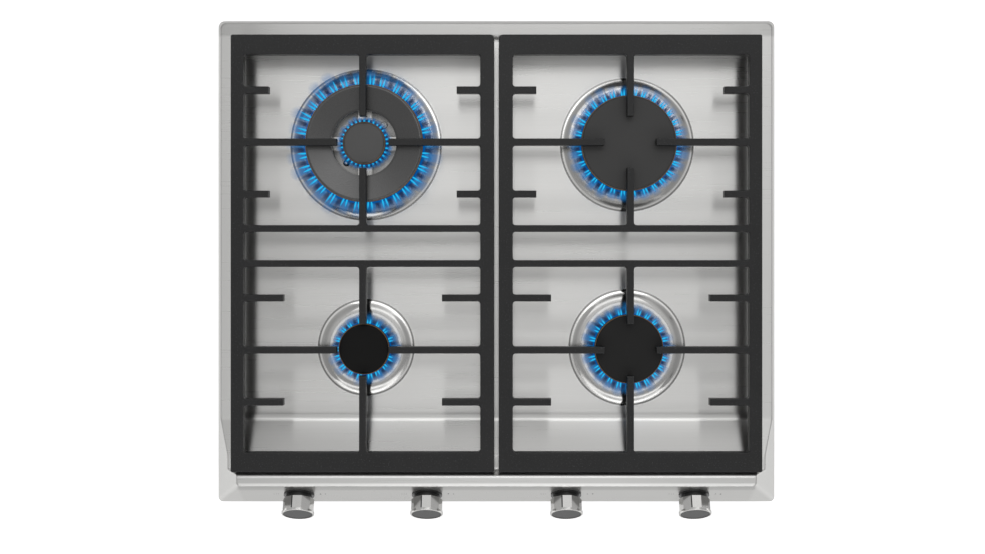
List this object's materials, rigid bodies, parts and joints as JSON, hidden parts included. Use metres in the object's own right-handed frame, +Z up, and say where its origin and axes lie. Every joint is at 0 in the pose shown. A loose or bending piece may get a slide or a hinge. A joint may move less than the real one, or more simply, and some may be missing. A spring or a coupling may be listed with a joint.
{
  "type": "gas cooktop",
  "caption": "Built-in gas cooktop: brushed steel plate with a raised front rail and sloping knob panel, wok, rapid, semi-rapid and auxiliary burners, cast grates, and its valves and pipes.",
  "frame": {"origin": "centre of the whole object's box, on the underside of the burner box", "axes": "+X to the right along the front, +Y to the back, +Z up"},
  "size_m": [0.595, 0.5298, 0.0965],
  "materials": {
    "plate_steel": "brushed along the front, satin",
    "seal_rubber": "matt foam strip",
    "box_steel": "galvanised sheet, dull",
    "screw_steel": "zinc plated",
    "brass": "machined",
    "ceramic": "glazed ceramic",
    "probe_steel": "heat-tinted metal",
    "rail_steel": "zinc-plated tube",
    "cast_aluminium": "die-cast, matt",
    "cup_aluminium": "die-cast, matt",
    "valve_aluminium": "pressed, machined faces",
    "pipe_aluminium": "bright drawn tube",
    "cap_enamel": "black vitreous enamel, satin",
    "grate_iron": "matt black enamel",
    "foot_rubber": "matt",
    "black_plastic": "moulded, satin",
    "grey_plastic": "moulded, matt",
    "knob_chrome": "bright plated",
    "disc_grey": "dark grey lacquer"
  },
  "bodies": {
    "root": {"box_screws": "screw_steel", "burner_box": "box_steel", "burner_cup_auxiliary": "cup_aluminium", "burner_cup_rapid": "cup_aluminium", "burner_cup_semi_rapid": "cup_aluminium", "burner_cup_wok": "cup_aluminium", "burner_screws": "screw_steel", "cable_gland": "black_plastic", "clamp_screws": "screw_steel", "feed_pipe_auxiliary": "pipe_aluminium", "feed_pipe_rapid": "pipe_aluminium", "feed_pipe_semi_rapid": "pipe_aluminium", "feed_pipe_wok": "pipe_aluminium", "gas_rail": "rail_steel", "hob_plate": "plate_steel", "igniters": "ceramic", "ignition_switches": "black_plastic", "injectors": "brass", "inlet_elbow": "brass", "knob_bezels": "black_plastic", "plate_brackets": "box_steel", "rail_clamps": "cast_aluminium", "rim_seal": "seal_rubber", "spark_generator": "grey_plastic", "supply_pipe": "rail_steel", "thermocouples": "probe_steel", "valve_auxiliary": "valve_aluminium", "valve_rapid": "valve_aluminium", "valve_semi_rapid": "valve_aluminium", "valve_wok": "valve_aluminium"},
    "grate_left": {"grate_left": "grate_iron", "grate_feet_left": "foot_rubber"},
    "crown_wok": {"crown_wok": "cast_aluminium"},
    "cap_wok_ring": {"cap_wok_ring": "cap_enamel"},
    "cap_wok_centre": {"cap_wok_centre": "cap_enamel"},
    "crown_auxiliary": {"crown_auxiliary": "cast_aluminium"},
    "cap_auxiliary": {"cap_auxiliary": "cap_enamel"},
    "grate_right": {"grate_right": "grate_iron", "grate_feet_right": "foot_rubber"},
    "crown_rapid": {"crown_rapid": "cast_aluminium"},
    "cap_rapid": {"cap_rapid": "cap_enamel"},
    "crown_semi_rapid": {"crown_semi_rapid": "cast_aluminium"},
    "cap_semi_rapid": {"cap_semi_rapid": "cap_enamel"},
    "plug_auxiliary": {"valve_plug_auxiliary": "brass"},
    "knob_auxiliary": {"knob_auxiliary": "knob_chrome", "knob_disc_auxiliary": "disc_grey", "valve_spindle_auxiliary": "rail_steel"},
    "plug_wok": {"valve_plug_wok": "brass"},
    "knob_wok": {"knob_wok": "knob_chrome", "knob_disc_wok": "disc_grey", "valve_spindle_wok": "rail_steel"},
    "plug_rapid": {"valve_plug_rapid": "brass"},
    "knob_rapid": {"knob_rapid": "knob_chrome", "knob_disc_rapid": "disc_grey", "valve_spindle_rapid": "rail_steel"},
    "plug_semi_rapid": {"valve_plug_semi_rapid": "brass"},
    "knob_semi_rapid": {"knob_semi_rapid": "knob_chrome", "knob_disc_semi_rapid": "disc_grey", "valve_spindle_semi_rapid": "rail_steel"}
  },
  "joints": [
    {"name": "grate_left_lift", "type": "slide", "parent": "root", "child": "grate_left", "axis": [0, 0, 1], "range_m": [0, 0.12]},
    {"name": "crown_wok_lift", "type": "slide", "parent": "root", "child": "crown_wok", "axis": [0, 0, 1], "range_m": [0, 0.03]},
    {"name": "cap_wok_ring_lift", "type": "slide", "parent": "crown_wok", "child": "cap_wok_ring", "axis": [0, 0, 1], "range_m": [0, 0.03]},
    {"name": "cap_wok_centre_lift", "type": "slide", "parent": "crown_wok", "child": "cap_wok_centre", "axis": [0, 0, 1], "range_m": [0, 0.03]},
    {"name": "crown_auxiliary_lift", "type": "slide", "parent": "root", "child": "crown_auxiliary", "axis": [0, 0, 1], "range_m": [0, 0.03]},
    {"name": "cap_auxiliary_lift", "type": "slide", "parent": "crown_auxiliary", "child": "cap_auxiliary", "axis": [0, 0, 1], "range_m": [0, 0.03]},
    {"name": "grate_right_lift", "type": "slide", "parent": "root", "child": "grate_right", "axis": [0, 0, 1], "range_m": [0, 0.12]},
    {"name": "crown_rapid_lift", "type": "slide", "parent": "root", "child": "crown_rapid", "axis": [0, 0, 1], "range_m": [0, 0.03]},
    {"name": "cap_rapid_lift", "type": "slide", "parent": "crown_rapid", "child": "cap_rapid", "axis": [0, 0, 1], "range_m": [0, 0.03]},
    {"name": "crown_semi_rapid_lift", "type": "slide", "parent": "root", "child": "crown_semi_rapid", "axis": [0, 0, 1], "range_m": [0, 0.03]},
    {"name": "cap_semi_rapid_lift", "type": "slide", "parent": "crown_semi_rapid", "child": "cap_semi_rapid", "axis": [0, 0, 1], "range_m": [0, 0.03]},
    {"name": "knob_auxiliary_turn", "type": "hinge", "parent": "root", "child": "plug_auxiliary", "pos_m": [-0.2082, -0.23774, 0.0715], "axis": [0, -0.8835, 0.4685], "range_deg": [0, 210]},
    {"name": "knob_auxiliary_push", "type": "slide", "parent": "plug_auxiliary", "child": "knob_auxiliary", "axis": [0, -0.8835, 0.4685], "range_m": [-0.003, 0], "stiffness_N_per_m": 1000, "springref_m": 0.002},
    {"name": "knob_wok_turn", "type": "hinge", "parent": "root", "child": "plug_wok", "pos_m": [-0.0733, -0.23774, 0.0715], "axis": [0, -0.8835, 0.4685], "range_deg": [0, 210]},
    {"name": "knob_wok_push", "type": "slide", "parent": "plug_wok", "child": "knob_wok", "axis": [0, -0.8835, 0.4685], "range_m": [-0.003, 0], "stiffness_N_per_m": 1000, "springref_m": 0.002},
    {"name": "knob_rapid_turn", "type": "hinge", "parent": "root", "child": "plug_rapid", "pos_m": [0.0733, -0.23774, 0.0715], "axis": [0, -0.8835, 0.4685], "range_deg": [0, 210]},
    {"name": "knob_rapid_push", "type": "slide", "parent": "plug_rapid", "child": "knob_rapid", "axis": [0, -0.8835, 0.4685], "range_m": [-0.003, 0], "stiffness_N_per_m": 1000, "springref_m": 0.002},
    {"name": "knob_semi_rapid_turn", "type": "hinge", "parent": "root", "child": "plug_semi_rapid", "pos_m": [0.2082, -0.23774, 0.0715], "axis": [0, -0.8835, 0.4685], "range_deg": [0, 210]},
    {"name": "knob_semi_rapid_push", "type": "slide", "parent": "plug_semi_rapid", "child": "knob_semi_rapid", "axis": [0, -0.8835, 0.4685], "range_m": [-0.003, 0], "stiffness_N_per_m": 1000, "springref_m": 0.002}
  ],
  "couplings": [
    {"joint": "crown_wok_lift", "follows": "grate_left_lift", "ratio": 0.25},
    {"joint": "cap_wok_ring_lift", "follows": "grate_left_lift", "ratio": 0.25},
    {"joint": "cap_wok_centre_lift", "follows": "grate_left_lift", "ratio": 0.25},
    {"joint": "crown_auxiliary_lift", "follows": "grate_left_lift", "ratio": 0.25},
    {"joint": "cap_auxiliary_lift", "follows": "grate_left_lift", "ratio": 0.25},
    {"joint": "crown_rapid_lift", "follows": "grate_right_lift", "ratio": 0.25},
    {"joint": "cap_rapid_lift", "follows": "grate_right_lift", "ratio": 0.25},
    {"joint": "crown_semi_rapid_lift", "follows": "grate_right_lift", "ratio": 0.25},
    {"joint": "cap_semi_rapid_lift", "follows": "grate_right_lift", "ratio": 0.25}
  ]
}
